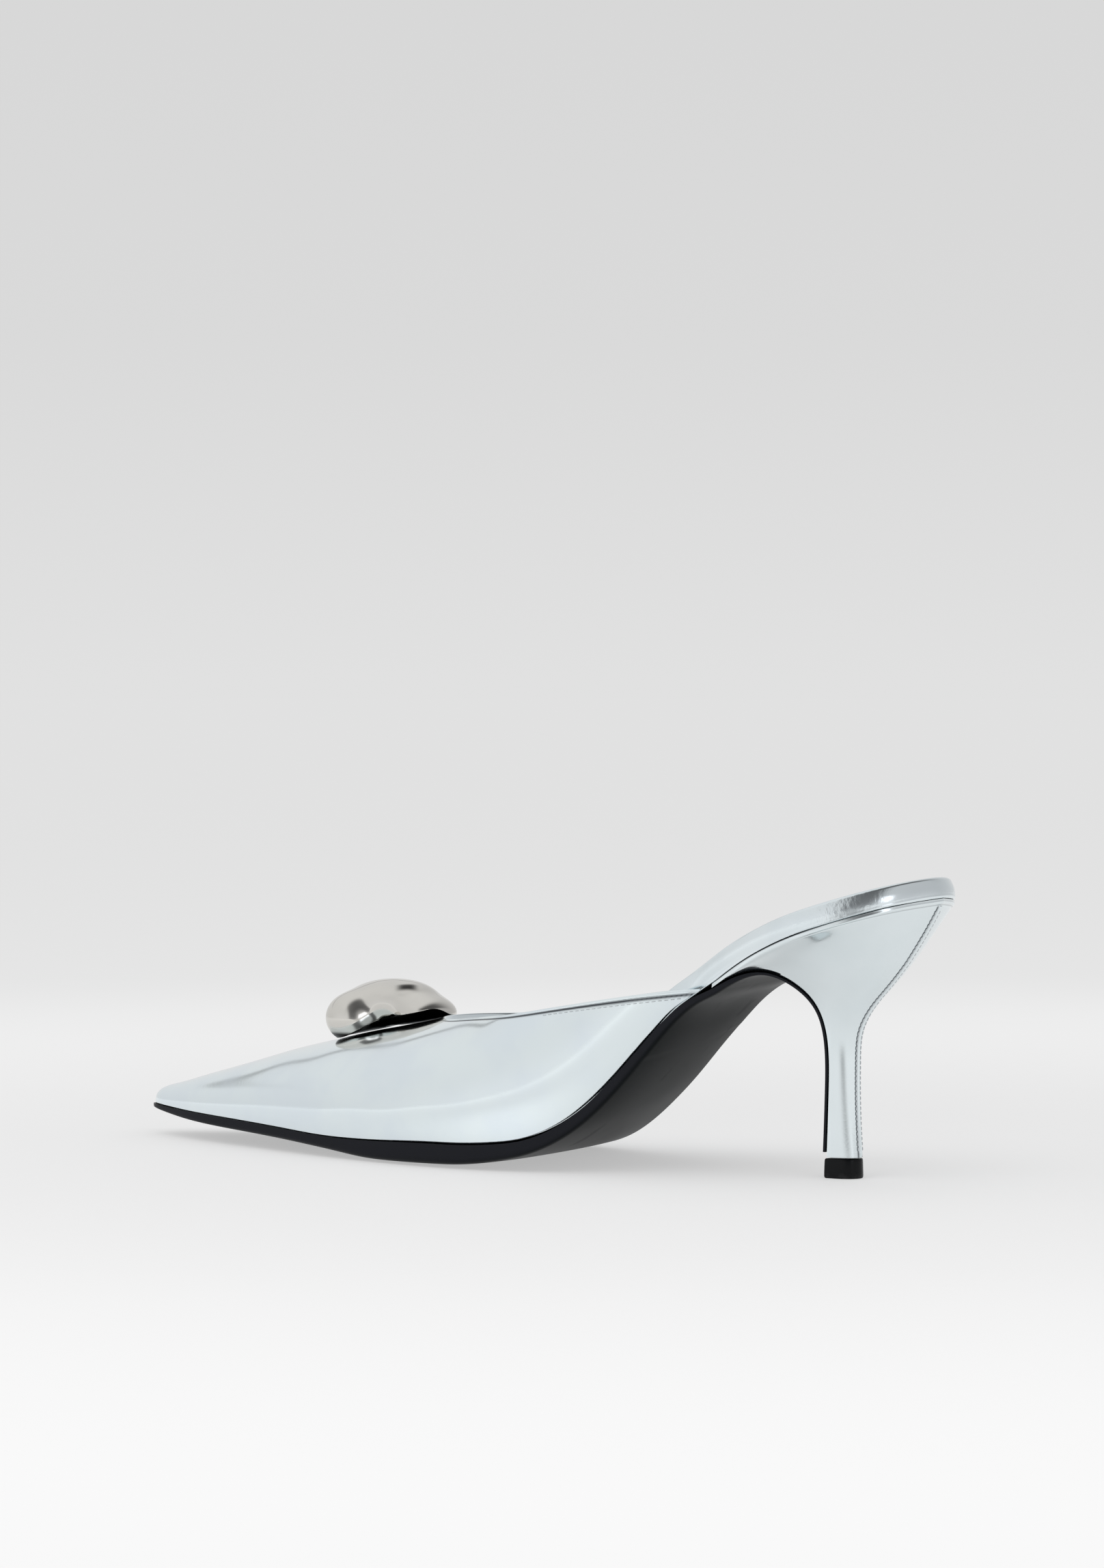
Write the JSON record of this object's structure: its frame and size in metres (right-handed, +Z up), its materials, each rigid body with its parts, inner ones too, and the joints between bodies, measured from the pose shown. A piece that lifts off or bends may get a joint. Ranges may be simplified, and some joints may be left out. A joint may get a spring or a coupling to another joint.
{
  "type": "kitten heel mule",
  "caption": "Left pointed-toe mule in mirror leather with a low thin heel, open back, black leather sole and a polished metal pebble on the vamp.",
  "frame": {"origin": "middle of the heel cap's flat underside, on the floor", "axes": "toe to -X, heel to +X, +Z up, outer side of the left foot to -Y"},
  "size_m": [0.2562, 0.0809, 0.0786],
  "materials": {
    "upper": "mirror-foil leather, pale cool silver",
    "footbed": "mirror-foil leather over board, slightly crinkled",
    "sock": "smooth matt lining leather",
    "outsole": "black satin sole leather",
    "heel": "mirror-foil leather over a moulded heel",
    "heel_cap": "black hard plastic",
    "ornament": "polished nickel-toned metal"
  },
  "bodies": {
    "root": {"upper": "upper", "footbed": "footbed", "sock": "sock", "outsole": "outsole", "heel": "heel", "heel_cap": "heel_cap", "ornament": "ornament"}
  },
  "joints": []
}
